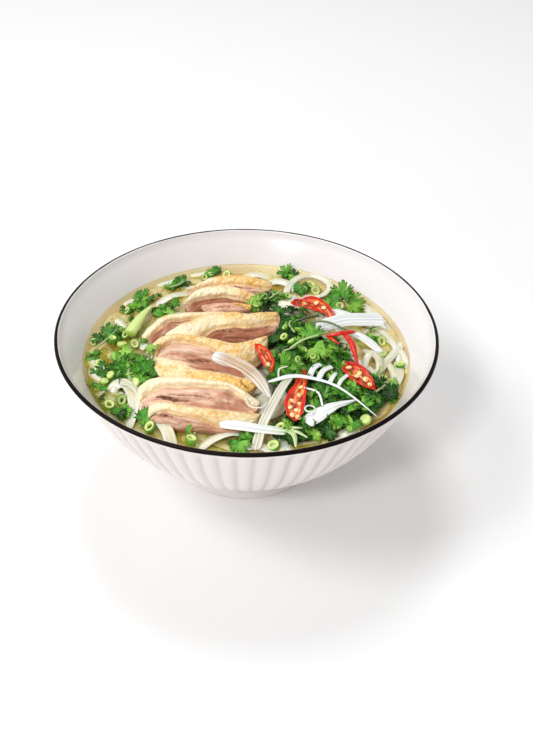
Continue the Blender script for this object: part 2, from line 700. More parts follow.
SLICES = (
    Slice("duck_slice_1", ((-50, -53, 76), (-42, -53, 79), (-22, -58, 80), (8, -60, 78)),
          14, 8, 36, 5, 0, (1, 0.55, 0.4, 0.44, 0.7, 1), (0.05, 0.15, 0.35, 0.48, 0.5), (0.35, 0.45, 0.4),
          ((0.2, 0.52, 0.55, 0.62, 0.9, 1.4), (0.5, 0.62, 0.75, 0.75, 0.7, 0.8))),
    Slice("duck_slice_2", ((-56, -40, 79), (-45, -36, 82), (-20, -39, 83), (-6, -43, 83), (8, -52, 79)),
          24, 8, 36, 5, 0, (0.95, 0.42, 0.26, 0.18, 0.16, 0.2, 0.5),
          (0, 0, 0.05, 0.15), (0, 0.05, 0.3, 0.55, 0.4),
          ((0.25, 0.5, 0.44, 0.58, 1.0, 3.2), (0.26, 0.46, 0.6, 0.42, 0.7, 1.2),
           (0.4, 0.72, 0.8, 0.62, 0.6, 0.9), (0.34, 0.62, 0.62, 0.86, 0.9, 1.2))),
    Slice("duck_slice_3", ((-50, -15, 79), (-29, -23, 82), (-8, -29, 83), (7, -37, 80)),
          17, 8, 25, 4, (0, 0.1, 0.32, 0.34, 0.3, 0.1), 1.0,
          (0.35, 0.5, 0.75, 0.95, 1), (0.3, 0.45, 0.7, 0.8),
          ((0.3, 0.3, 0.8, 0.3, 0.7, 1.0), (0.82, 0.35, 0.97, 0.8, 0.8, 1.4))),
    Slice("duck_slice_4", ((-53, -4, 79), (-43, 2, 82), (-23, -3, 84), (-6, -8, 84), (12, 1, 83)),
          22, 8, 33, 5, 0, (0.95, 0.34, 0.26, 0.32, 0.55, 0.8, 0.95),
          (0.45, 0.55, 0.65, 0.6), (0.3, 0.35, 0.5),
          ((0.08, 0.44, 0.3, 0.3, 0.8, 1.2), (0.05, 0.76, 0.3, 0.84, 0.9, 2.4),
           (0.3, 0.84, 0.58, 0.68, 0.7, 2.0))),
    Slice("duck_slice_5", ((-46, 5, 80), (-37, 10, 83), (-20, 20, 84), (0, 19, 85), (18, 24, 83)),
          24, 8, 28, 5, 0, (1, 0.9, 0.62, 0.5, 0.42, 0.4, 0.5),
          (0.05, 0.26, 0.55, 0.72), (0.65, 1, 0.85, 0.45),
          ((0.35, 0.64, 0.95, 0.5, 0.9, 1.6), (0.5, 0.8, 0.95, 0.75, 0.8, 1.2))),
    Slice("duck_slice_6", ((-60, 8, 76), (-50, 22, 79), (-37, 23, 82), (-12, 25, 82)),
          18, 7, 33, 3, 0, (0.5, 0.34, 0.3, 0.3, 0.3), (0.2, 0.2, 0.4), (0.7, 0.75, 0.3),
          ((0.25, 0.38, 0.75, 0.36, 0.7, 1.0), (0.2, 0.75, 0.7, 0.7, 0.8, 1.0))),
    Slice("duck_slice_7", ((-27, 35, 79), (-12, 36, 80), (3, 37, 79)),
          10, 6, 25, 3, 0, (0, 0, 0, 0.3, 1), (0.2, 0.4, 1), (0.1, 0.15, 0.5),
          ((0.1, 0.5, 0.8, 0.55, 0.8, 0.8),)),
    Slice("duck_slice_8", ((-38, 39, 78), (-30, 50, 80), (-16, 53, 82), (-4, 50, 81), (9, 46, 78)),
          20, 8, 36, 4, 0, (0.2, 0.4, 0.42, 0.42, 0.45), (0.05, 0.1, 0.4, 0.75), (0.6, 1, 1, 1),
          ((0.12, 0.5, 0.85, 0.48, 0.8, 1.4), (0.2, 0.92, 0.8, 0.85, 1.0, 1.6))),
    Slice("duck_slice_9", ((-36, 56, 76), (-22, 67, 78), (-4, 67, 80), (15, 63, 78)),
          17, 8, 33, 4, 0, (0.2, 0.35, 0.45, 0.5, 0.6), (0.3, 0.5, 0.7, 0.7), (0.2, 0.3, 0.3),
          ((0.2, 0.58, 0.95, 0.62, 0.9, 1.3), (0.3, 0.8, 0.9, 0.8, 0.7, 0.9))),
)


def cut_depth(cuts, t, down, length, width):
    """How deep the slice is cut at a place, in mm."""
    deepest = 0
    for t_1, down_1, t_2, down_2, wide, deep in cuts:
        start = Vector((t_1 * length, down_1 * width))
        end = Vector((t_2 * length, down_2 * width))
        here = Vector((t * length, down * width))
        place = Vector((here.x, here.y, length))
        here += Vector((noise.noise(place / 1.6), noise.noise(place / 1.3 + Vector((0, 0, 9))))) * 0.6 * wide
        share = clamp((here - start).dot(end - start) / (end - start).length_squared)
        off = (here - start.lerp(end, share)).length
        taper = math.sin(math.pi * (0.08 + 0.84 * share))
        deepest = max(deepest, deep * taper * max(1 - (off / (wide * taper)) ** 2, 0))
    return deepest


def make_slice(spec, number):
    """A slab with its skin in a raised band along the top, and the fibres of its cut face."""
    route = Route(mm(*spec.route), spec.lean, True)
    length = route.length / MM

    def section(t, angle):
        turn = 1 - abs(angle / math.pi - 1)
        down = 0.5 * turn + 0.25 * (1 - math.cos(math.pi * turn))
        torn = 1 + 0.07 * abs(grain(down * 4.5, number * 2.7, 2 * t))
        taper = max(1 - min(abs(2 * t - 1) * torn, 1) ** spec.blunt, 0) ** 0.5
        rough = grain(t * length / 9, number * 7.3, 0)
        width = spec.width * taper * (1 + 0.12 * rough)
        top = math.copysign(max(1 - abs(2 * down - 1) ** 2.86, 0) ** 0.375, math.sin(angle))
        top *= spec.depth / 2 * taper ** 0.6
        start = even(spec.skin_from, t)
        end = even(spec.skin_to, t)
        wander = 0.05 * grain(t * length / 6, number * 3.1, 5)
        inside = min(down - start, end - down) + wander
        upper = math.sin(angle) > 0
        skin = clamp(0.5 + inside * 7) if upper else 1.0
        cut = cut_depth(spec.cuts, t, down, length, spec.width) if upper else 0
        if upper:
            middle = (down - (start + end) / 2) / max((end - start) / 2, 0.05)
            top += SKIN_RISE * skin * max(1 - middle * middle, 0) * taper
            meat = clamp((down - end) / max(1 - end, 0.1))
            top += FACE_RISE * math.sin(math.pi * meat) * taper
            top -= SEAM_DEPTH * math.exp(-((down - end) / 0.05) ** 2) * taper
        place = Vector((t * length, down * spec.width, number * 11))
        lumps = noise.noise(place / 7) * 0.9 + noise.noise(place / 2.6) * 0.35
        strand = grain(place.x / 8, place.y / 0.8, place.z)
        bundle = grain(place.x / 13, place.y / 2.4, place.z + 5)
        crack = max(1 - abs(bundle) / 0.07, 0) * clamp(strand + 0.35)
        meaty = 1 - skin
        lumps += meaty * (strand * 0.45 + abs(bundle) * 1.3 - crack * 0.6)
        lumps += skin * (noise.noise(place / 1.2) * 0.34 + noise.noise(place / 2) * 0.42)
        tone = even(spec.gold, t) * skin + even(spec.brown, t) * meaty
        tone += 0.22 * noise.noise(place / 5 + Vector((0, 0, 40)))
        ragged = max(1 + 0.7 * noise.noise(place / 1.5), 0)
        under = 0.55 * clamp((down - 0.86) / 0.12) if upper else 0
        dark = max(min(max(cut * ragged - 0.25, 0) / 1.3, 1), 0.5 * crack * meaty, under)
        masks = (skin, dark, clamp(tone))
        return down * width * MM, (top + lumps * taper - cut * ragged) * MM, masks

    return bent(spec.node + "_cut", route, section, 84, 150)


def make_duck():
    finish = cooked_duck()
    for number, spec in enumerate(SLICES):
        dress(make_slice(spec, number), finish, "duck", spec.node)


# ---------------------------------------------------------------- noodles

def flat(width, thick, crown=0.0, boxy=0.45, green=0.0, cream=0.0, pleats=0.0):
    """The section of a flat strip in mm, arched by its crown, with its masks."""
    def section(t, angle):
        ends = min(min(t, 1 - t) * 24, 1) ** 0.5
        half = even(width, t) / 2
        side = -squared(math.cos(angle), boxy) * half * ends
        top = squared(math.sin(angle), 0.8) * thick / 2 * ends
        top += even(crown, t) * (1 - (side / half) ** 2) + pleats * math.cos(side * 2.6)
        return side * MM, top * MM, (even(green, t), abs(side) / half, even(cream, t))
    return section


# The core of the heap: its middle level, its radius, and how far it stands over and under that level
CORE_LEVEL = 70 * MM
CORE_RADIUS = 68 * MM
CORE_RISE = 3 * MM
CORE_DEPTH = 20 * MM

# Noodles that show on the surface: points in mm, the width, and how far each turns over
NOODLES = (
    (((65, 28, 71.8), (71, 25, 74.2), (79, 17, 74.6), (84, 4, 74.4), (85, -9, 72)), 3.8, 5),
    (((90, 12, 71.6), (83, -2, 74.4), (75, -15, 75), (69, -25, 74), (66, -34, 72)), 4.4, -10),
    (((66, 4, 72), (72, -5, 74.2), (79, -14, 74.4), (80, -26, 74), (73, -36, 72)), 3.8, 10),
    (((57, -8, 76), (63, -14, 76.4), (69, -20, 75.4), (75, -29, 72.6)), 3.8, -10),
    (((70, 26, 71.8), (80, 13, 73.4), (88, -2, 73.2), (88, -18, 71.6)), 3.6, 10),
    (((-72, -38, 71.4), (-69, -35, 75.4), (-64, -35, 76.4), (-60, -42, 75.6), (-58, -54, 74.2),
      (-60, -68, 71.6)), 6, 20),
    (((-66, -34, 75.6), (-61, -37, 77), (-56, -42, 76.4), (-53, -51, 75), (-50, -60, 72)), 5.5, -25),
    (((-48, -56, 72), (-45, -61, 75.2), (-40, -68, 75), (-36, -79, 71.8)), 6.5, 15),
    (((-23, -80, 71.8), (-15, -75, 74.8), (-6, -71, 75), (3, -71, 72.6)), 6, -15),
    (((-4, -80, 72), (6, -79, 73.8), (16, -82, 72)), 5, 0),
    (((44, -76, 72), (50, -70, 75.2), (57, -65, 74)), 5.5, 0),
    (((12, 70, 72), (19, 69, 75), (26, 66, 74.6), (32, 60, 72)), 5.5, 10),
    (((13, 40, 74), (20, 41, 76.8), (28, 38, 76.4), (34, 34, 74)), 6, 20),
    (((64, 56, 71.4), (70, 45, 73.6), (77, 34, 73.8), (82, 22, 71.6)), 5.5, 10),
    (((-57, 43, 71.4), (-46, 53, 73.6), (-35, 59, 71.6)), 5.5, 0),
    (((-6, 76, 71.4), (5, 79, 73.2), (16, 77, 71.6)), 5.5, 0),
    (((-77, 32, 71.2), (-74, 25, 72.9), (-69, 18, 71.4)), 5, 0),
    (((-84, -8, 71), (-81, -15, 72.9), (-79, -24, 71)), 6, 0),
    (((72, -42, 71.6), (79, -32, 74), (84, -20, 74), (84, -6, 71.8)), 4.5, 0),
)


def noodle_loop():
    """The round loop that lies at the back on the right."""
    return ((23, 51, 71.6), (25, 62, 74.6), (31, 73, 75), (40, 77, 74.6), (48, 72, 74.6), (51, 64, 74.8),
            (47, 56, 74.6), (38, 52, 74.2), (29, 54, 71.8))


def curl():
    """The noodle that arches up at the right."""
    return ((63, -24, 73.6), (65.5, -15, 79), (69, -10, 80.4), (72.5, -14, 78.4), (72.5, -21, 74))


def tangle(count, seed, span, low, inner=10):
    """Routes of noodles that wind about within a span, just over the lowest height."""
    draw = random.Random(seed)
    routes = []
    for _ in range(count):
        angle = draw.uniform(0, math.tau)
        reach = draw.uniform(inner, span)
        heading = angle + draw.uniform(0.8, 2.2)
        place = Vector((reach * math.cos(angle), reach * math.sin(angle), draw.uniform(low, low + 2.4)))
        bend = draw.uniform(-0.5, 0.5)
        points = []
        for _ in range(7):
            points.append(tuple(place))
            place = place + Vector((math.cos(heading), math.sin(heading), 0)) * 9
            if place.xy.length > span:
                heading += 1.1
                place.xy *= span / place.xy.length
            place.z = min(max(place.z + draw.uniform(-0.9, 0.9), low), low + 2.4)
            heading += bend + draw.uniform(-0.3, 0.3)
        routes.append(tuple(points))
    return routes


def make_noodles():
    pieces = []
    for points, width, lean in NOODLES:
        pieces.append(bent("noodle", Route(mm(*points), lean), flat(width, 0.9, 0.2), 16, 44))
    pieces.append(bent("noodle", Route(mm(*noodle_loop()), 10), flat(4.0, 0.8, 0.15), 16, 72))
    pieces.append(bent("noodle", Route(mm(*curl()), 10), flat(3.8, 0.8, 0.4), 16, 44))
    for points in tangle(60, 4, 84, 69) + tangle(48, 5, 86, 69.7, 62) + tangle(34, 9, 58, 72.8):
        pieces.append(bent("noodle", Route(mm(*points)), flat(5.4, 0.9, 0.2), 8, 36))
    finish = rice_noodle()
    dress(join("rice_noodles", pieces), finish, "noodle", "noodle_heap")
    make_noodle_core(finish)


def make_noodle_core(finish):
    """The heap under the loose noodles: a lumpy dome that carries the slices."""
    core = ball("noodle_core", 96, 48)
    for vertex in core.data.vertices:
        height = CORE_RISE if vertex.co.z > 0 else CORE_DEPTH
        x, y, z = vertex.co
        place = Vector((x * CORE_RADIUS, y * CORE_RADIUS, CORE_LEVEL + z * height))
        wave = noise.noise(place / (9 * MM)) * 1.2 * MM
        vertex.co = place + Vector((0, 0, wave))
    paint_plain(core)
    core.data.shade_smooth()
    dress(core, finish, "noodle", "noodle_heap")


# ---------------------------------------------------------------- scallion

# The node, its route, widths, thickness, crown, lean, and how green and how creamy it is along its length
STRIPS = (
    ("scallion_white_1", ((35, 9, 81.4), (46, 13, 83), (56, 17, 83.2), (67, 19.5, 82), (79, 24.5, 78.6)),
     (4, 8, 8.6, 8.8, 9.4), 0.9, 0.8, 22, 0, 0),
    ("scallion_white_2", ((58, 6, 82.6), (66, 0.5, 82), (75, -7, 78.4)),
     (3, 4.4, 4.8, 3.6), 0.8, 0.7, 20, 0, 0),
    ("scallion_white_3", ((48, 31, 80.4), (55, 26, 81.2), (63, 22, 80.4)),
     (2, 5.5, 6.4, 4), 0.8, 0.6, 10, (0, 0.1, 0.1), 0),
    ("scallion_white_4", ((-13, -68, 78.2), (-3, -70, 79), (7, -72, 79), (21, -73, 78)),
     (4.6, 5.4, 5.2, 4.8, 4), 1.0, 0.6, 18, (0, 0, 0, 0.05, 0.5), (0.05, 0.0, 0)),
    ("scallion_white_5", ((-18, -20, 84.8), (-9, -26.5, 86), (0, -33, 85.2), (7, -40, 83.4), (13, -51, 81)),
     (6.4, 8, 8.6, 6, 2.4), 0.8, 0.6, 25, 0, (0.0, 0.85, 0.9, 0.7, 0.3)),
    ("scallion_white_6", ((30, -69, 80.4), (38, -63, 82), (46, -58, 83), (57, -52.5, 82)),
     (7, 8, 6, 3.5, 1.2), 0.8, 0.5, 12, 0, 0),
)

# Thin shreds, and the pale bands between the leaves: points, width, how green, how creamy
SHREDS = (
    (((11, -42, 84.4), (22, -38.5, 85.6), (31, -39, 86), (44, -44, 85.8), (54, -52, 84.6), (67, -65, 81)),
     (1.6, 2.8, 2.4, 1.6, 1.1, 0.4), 0, 0),
    (((30, -46, 84.6), (37, -51, 85.4), (39, -60, 84)), 1.1, 0, 0),
    (((17, -39, 84), (17.5, -33, 86), (22, -29, 85)), 0.9, 0.1, 0),
    (((0, -53, 83.4), (2, -60, 83.6), (8, -61, 83.4), (11, -56, 83)), 0.8, 0, 0.4),
    (((24, -36, 84.4), (20, -43, 84.2), (16, -51, 82.4), (11, -63, 80.4), (8, -71, 78.4), (5, -83, 74)),
     (4, 5, 5.4, 5.4, 5.2, 5.6), 0.16, 0.4),
    (((33, -36, 82.5), (36, -29, 84), (40, -24, 83)), 3.2, 0, 0),
    (((38, -37, 82.5), (41, -31, 84), (46, -26, 83)), 3, 0.1, 0),
    (((44, -39, 82.5), (46, -35, 83.4), (48, -31, 82.5)), 2.4, 0.05, 0),
    (((48, -42, 82), (50, -38, 83.2), (54, -32, 82.4)), 2.2, 0.1, 0),
    (((20, -72, 79), (24, -77, 79.6), (25, -83, 77)), (2.4, 2.4, 1.2), 0.9, 0),
    (((20, -72, 79), (26, -75, 79.8), (31, -77, 78)), (2.2, 1.8, 1), 0.8, 0),
    (((20, -71, 79), (25, -72, 80), (29, -71, 79)), (1.8, 1.6, 0.8), 0.8, 0.1),
)


def shred_loop(centre, radius, height):
    points = []
    for step in range(10):
        angle = math.radians(38 * step)
        points.append((centre[0] + radius * math.cos(angle), centre[1] + radius * math.sin(angle),
                       height + 0.08 * step))
    return points


def make_scallion_strips():
    finish = white_scallion()
    for node, points, widths, thick, crown, lean, green, cream in STRIPS:
        route = Route(mm(*points), lean)
        section = flat(widths, thick, crown, 0.6, green, cream, 0.09)
        piece = bent(node + "_strip", route, section, 40, 60)
        dress(piece, finish, "scallion_white", node)
    shreds = []
    for points, width, green, cream in SHREDS:
        wide = max(width) if isinstance(width, tuple) else width
        section = flat(width, min(wide * 0.5, 0.55), 0.06 * wide, 0.6, green, cream, 0.06 if wide > 3 else 0)
        shreds.append(bent("shred", Route(mm(*points), 10), section, 16, 40))
    ring = Route(mm(*shred_loop((32.5, -62), 2.6, 83.6)))
    shreds.append(bent("shred", ring, flat(1.0, 0.6, 0, 0.45, 0.1, 0.2), 8, 48))
    dress(join("scallion_shreds", shreds), finish, "scallion_white")


def make_stalk(finish):
    """The pale stalk: a tapered tube with a hollow, greener cut end."""
    route = Route(mm((-56, 40, 76), (-61.5, 25, 77.3), (-67, 9, 76.3)))

    def section(t, angle):
        radius = even((0.7, 1.7, 2.4, 3.0, 3.4, 3.4), t)
        closed = min(min(t * 12, (1 - t) * 30), 1) ** 0.5
        tone = max(min((t - 0.93) * 12, 1), 0.12 + 0.1 * math.cos(angle * 3))
        side = -math.cos(angle) * radius * closed * MM
        top = math.sin(angle) * radius * 0.8 * closed * MM
        return side, top, (0, 0, tone)

    dress(bent("scallion_stalk_cut", route, section, 24, 50), finish, "scallion_green", "scallion_stalk")


def ring_model(radius, wall, height):
    """A slice of scallion leaf: a short tube with rounded cut edges."""
    deselect()
    bpy.ops.mesh.primitive_torus_add(major_segments=18, minor_segments=8, major_radius=radius - wall / 2,
                                     minor_radius=wall / 2)
    ring = bpy.context.active_object
    ring.name = "ring"
    places = []
    zones = []
    for vertex in ring.data.vertices:
        out = vertex.co.xy.length
        vertex.co.z = math.copysign(abs(vertex.co.z * 2 / wall) ** 0.4, vertex.co.z) * height / 2
        angle = math.atan2(vertex.co.y, vertex.co.x)
        vertex.co.xy *= 1 + 0.06 * math.sin(2 * angle)
        outer = clamp((out - (radius - wall * 0.5)) / (wall * 0.4))
        places.append((vertex.co.z, angle * radius, out))
        zones.append((outer * 0.8, 0, outer))
    paint_piece(ring, places, zones)
    return ring


def chunk_model(radius, height):
    """A solid slice of the scallion's pale lower end, with its layers as rings."""
    chunk = ball("chunk", 16, 10)
    places = []
    zones = []
    for vertex in chunk.data.vertices:
        out = vertex.co.xy.length
        layer = 0.08 * math.cos(out * 16)
        vertex.co.z = squared(vertex.co.z, 0.35) * (1 + layer) * height / 2
        vertex.co.xy *= radius
        places.append((vertex.co.z, 0, out * radius))
        zones.append((max(0.0, out - 0.75) * 1.6, 0, 0.25 * (1 + math.cos(out * 16))))
    paint_piece(chunk, places, zones)
    return chunk


# Slices of scallion leaf: x, y and z in mm, size, tilt in degrees, and how dark
RINGS = (
    (-23, 77, 74.0, 1.0, 25, -0.1), (-13, 78, 73.8, 1.1, 30, -0.2), (-49, 63, 73.8, 1.0, 40, 0.1),
    (-27, 74, 74.0, 0.9, 50, 0.1), (-71, 37, 73.6, 1.1, 50, 0.0), (-72, 15, 74.6, 1.2, 50, 0.1),
    (-69, 11, 74.8, 1.0, 30, -0.2), (-63, 2, 75.2, 1.1, 40, 0.1), (-58, 4, 75.6, 1.0, 60, 0.2),
    (-71, -49, 73.2, 1.25, 10, -0.3), (-65, -46, 74.4, 1.2, 60, 0.1), (-62, -52, 74, 1.1, 70, 0.2),
    (-48, -67, 74.4, 1.35, 25, -0.1), (-27, -70, 75, 1.4, 70, 0.2), (-27, -76.5, 74.6, 1.4, 25, -0.2),
    (2, -74, 75.8, 1.1, 55, 0.2), (14, -78, 73.2, 1.4, 8, 0.2), (85, -13, 74.2, 1.2, 12, 0.0),
    (72, 14, 73.6, 1.5, 40, 0.0), (77, 10, 73.6, 1.3, 50, 0.0), (74, 20, 73.4, 1.2, 60, 0.1),
    (39, 67, 73.8, 1.35, 20, 0.0), (42, 61, 74.0, 1.25, 50, -0.1), (36, 62, 73.8, 1.1, 60, 0.1),
    (9, 60, 76, 1.2, 60, -0.1), (4, 40, 78.6, 1.2, 40, -0.1), (24, 50, 77, 1.1, 40, 0.0),
    (25, -7, 84.8, 1.0, 40, 0.2), (31, -3, 85, 0.8, 50, 0.4), (31, -14, 84.6, 0.9, 40, 0.3),
    (35, 3, 85, 0.9, 60, 0.4), (36, -19, 84.6, 0.8, 50, 0.3),
    (22, 8, 83.6, 0.9, 40, 0.4), (28, -22, 84.4, 0.9, 60, 0.3), (34, -66, 79.4, 1.1, 40, 0.1),
)

CHUNKS = (
    (-73, -26, 75, 1.0, 30, 0.0), (-59, -34, 76.4, 1.15, 30, -0.1), (-70, 1, 75.4, 1.2, 30, 0.1),
    (61, -62, 77.2, 1.2, 25, 0.1), (76, -2, 73.2, 1.3, 10, 0.1), (-81, -14, 73, 1.1, 20, 0.1),
    (-76, -30, 73.6, 1.0, 20, 0.2),
)


def spots_from(table, draw):
    spots = []
    for x, y, z, size, tilt, dark in table:
        side = draw.uniform(0, math.tau)
        lean = math.radians(tilt)
        up = Vector((math.sin(lean) * math.cos(side), math.sin(lean) * math.sin(side) - 0.2, math.cos(lean)))
        spots.append((turned_to(Vector((x, y, z)) * MM, up.normalized(), draw.uniform(0, 6), size), dark))
    return spots


def make_scallion_rings():
    finish = green_scallion()
    make_stalk(finish)
    draw = random.Random(21)
    rings = [ring_model(2.4 * MM, 1.3 * MM, 2.2 * MM), ring_model(2.6 * MM, 1.6 * MM, 1.8 * MM),
             ring_model(2.1 * MM, 1.1 * MM, 3.0 * MM)]
    spots = spots_from(RINGS, draw)
    for heap, count in (("herb_heap_left", 4), ("herb_heap_front", 10), ("herb_heap_top", 8),
                        ("herb_heap_back", 2), ("herb_heap_centre", 3)):
        for place, up, _ in heap_spots(heap, count, draw):
            size = draw.uniform(0.8, 1.25)
            spots.append((turned_to(place, up, draw.uniform(0, 6), size), draw.uniform(-0.35, 0.3)))
    dress(scatter("scallion_rings", rings, spots), finish, "scallion_green")
    remove(rings)
    chunk = chunk_model(2.5 * MM, 2.2 * MM)
    dress(scatter("scallion_chunks", [chunk], spots_from(CHUNKS, draw)), finish, "scallion_green")
    remove([chunk])


# ---------------------------------------------------------------- coriander

# The heaps: their routes in mm, width, and the height that the leaves reach
HEAPS = {
    "herb_heap_centre": (((18, 28, 80), (27, 8, 82), (42, -12, 82), (52, -26, 80)), 30, 2.2),
    "herb_heap_top": (((3, 37, 77.6), (12, 45, 78.6), (20, 53, 76)), 14, 1.2),
    "herb_heap_back": (((46, 38, 77), (55, 43, 79.6), (63, 50, 77)), 17, 2),
    "herb_heap_front": (((72, -28, 77), (63, -47, 79), (43, -61, 79), (17, -72, 77)), 23, 2),
    "herb_heap_left": (((-80, 13, 75), (-73, -8, 77), (-55, -28, 76.5)), 22, 1.5),
}


# How far the leaves may lie from the middle of the bowl
HEAP_REACH = 87 * MM


def heap_spots(heap, count, draw):
    """Places on a heap, each with the way its surface faces there and how far it is lifted."""
    points, width, rise = HEAPS[heap]
    route = Route(mm(*points))
    for _ in range(count):
        t = draw.uniform(0, 1)
        side = max(min(draw.gauss(0, 0.25), 0.5), -0.5)
        across, through = route.axes(t)
        drop = (2 * side) ** 2
        lift = (draw.uniform(-1.5, rise) - drop * 3.0) * MM
        place = route.at(t) + across * side * width * MM + Vector((0, 0, lift))
        up = through + across * side * 1.2 + Vector((draw.gauss(0, 0.45), draw.gauss(0, 0.45) - 0.15, 0))
        reach = place.xy.length
        if reach > HEAP_REACH:
            place.xy *= HEAP_REACH / reach
        place.z = max(place.z, BROTH_LEVEL + 0.4 * MM)
        yield place, up.normalized(), lift


# Half of a leaflet's outline, from its tip round to its foot: degrees from the tip, and share of its length
LEAF_EDGE = (
    (0, 1.0), (6, 0.94), (10, 0.78), (14, 0.9), (19, 0.84), (22, 0.62), (25, 0.34), (29, 0.6), (34, 0.84),
    (40, 0.88), (44, 0.68), (49, 0.9), (55, 0.86), (59, 0.62), (64, 0.76), (71, 0.74), (77, 0.5), (85, 0.46),
    (94, 0.3), (108, 0.16), (135, 0.1), (180, 0.08),
)
LEAF_LENGTH = 10 * MM


def leaf_model(seed):
    """One leaflet with its foot at the origin and its tip along X: a flat ball with a toothed edge."""
    draw = random.Random(seed)
    points = 2 * len(LEAF_EDGE) - 2
    leaf = ball("leaf", points, 4)
    spread = (draw.uniform(0.85, 1.08), draw.uniform(0.85, 1.08))
    length = (draw.uniform(0.85, 1.1), draw.uniform(0.85, 1.1))
    droop = draw.uniform(-0.2, 0.7)
    wings = draw.uniform(-0.7, 0.6)
    twist = draw.uniform(-0.6, 0.6)
    cup = draw.uniform(0.02, 0.2)
    places = []
    zones = []
    for vertex in leaf.data.vertices:
        share = vertex.co.xy.length
        step = round(math.atan2(vertex.co.y, vertex.co.x) / math.tau * points) if share > 0.01 else 0
        degrees, reach = LEAF_EDGE[abs(step)]
        half = 0 if step >= 0 else 1
        angle = math.radians(degrees) * (spread[half] if degrees < 110 else 1) * (1 if step >= 0 else -1)
        reach *= 1 + (length[half] - 1) * min(degrees / 50, 1)
        if share < 0.95:
            reach = reach * 0.6 + 0.3 if degrees < 90 else reach
        out = reach * share ** 1.7
        x = out * math.cos(angle)
        y = out * math.sin(angle)
        fold = cup * abs(math.sin(math.radians(degrees) * 3.6)) * out if degrees < 80 else 0
        ripple = 0.04 * math.sin(9 * angle + seed) * out * out
        z = fold + ripple - droop * x * abs(x) * 0.6 + wings * y * y + twist * x * y
        thick = 0.012 * (1 if vertex.co.z > 0.01 else -1 if vertex.co.z < -0.01 else 0)
        vertex.co = Vector((x, y, z + thick)) * LEAF_LENGTH
        places.append((x, y, out))
        zones.append((0.12 * out + 0.1 * draw.random(), 0, 0))
    paint_piece(leaf, places, zones)
    return leaf


def sprig(place, up, heading, size, tone, draw, count=3):
    """Leaflets that share one foot, each turned a little its own way."""
    spots = []
    for number in range(count):
        turn = heading + (0, 1.25, -1.25, 2.4)[number] + draw.uniform(-0.25, 0.25)
        lean = up + Vector((draw.gauss(0, 0.32), draw.gauss(0, 0.32), 0))
        shrink = 1 if number == 0 else draw.uniform(0.7, 0.95)
        spots.append((turned_to(place, lean.normalized(), turn, size * shrink), tone + draw.gauss(0, 0.2)))
    return spots


LONE_SIZE = 0.88

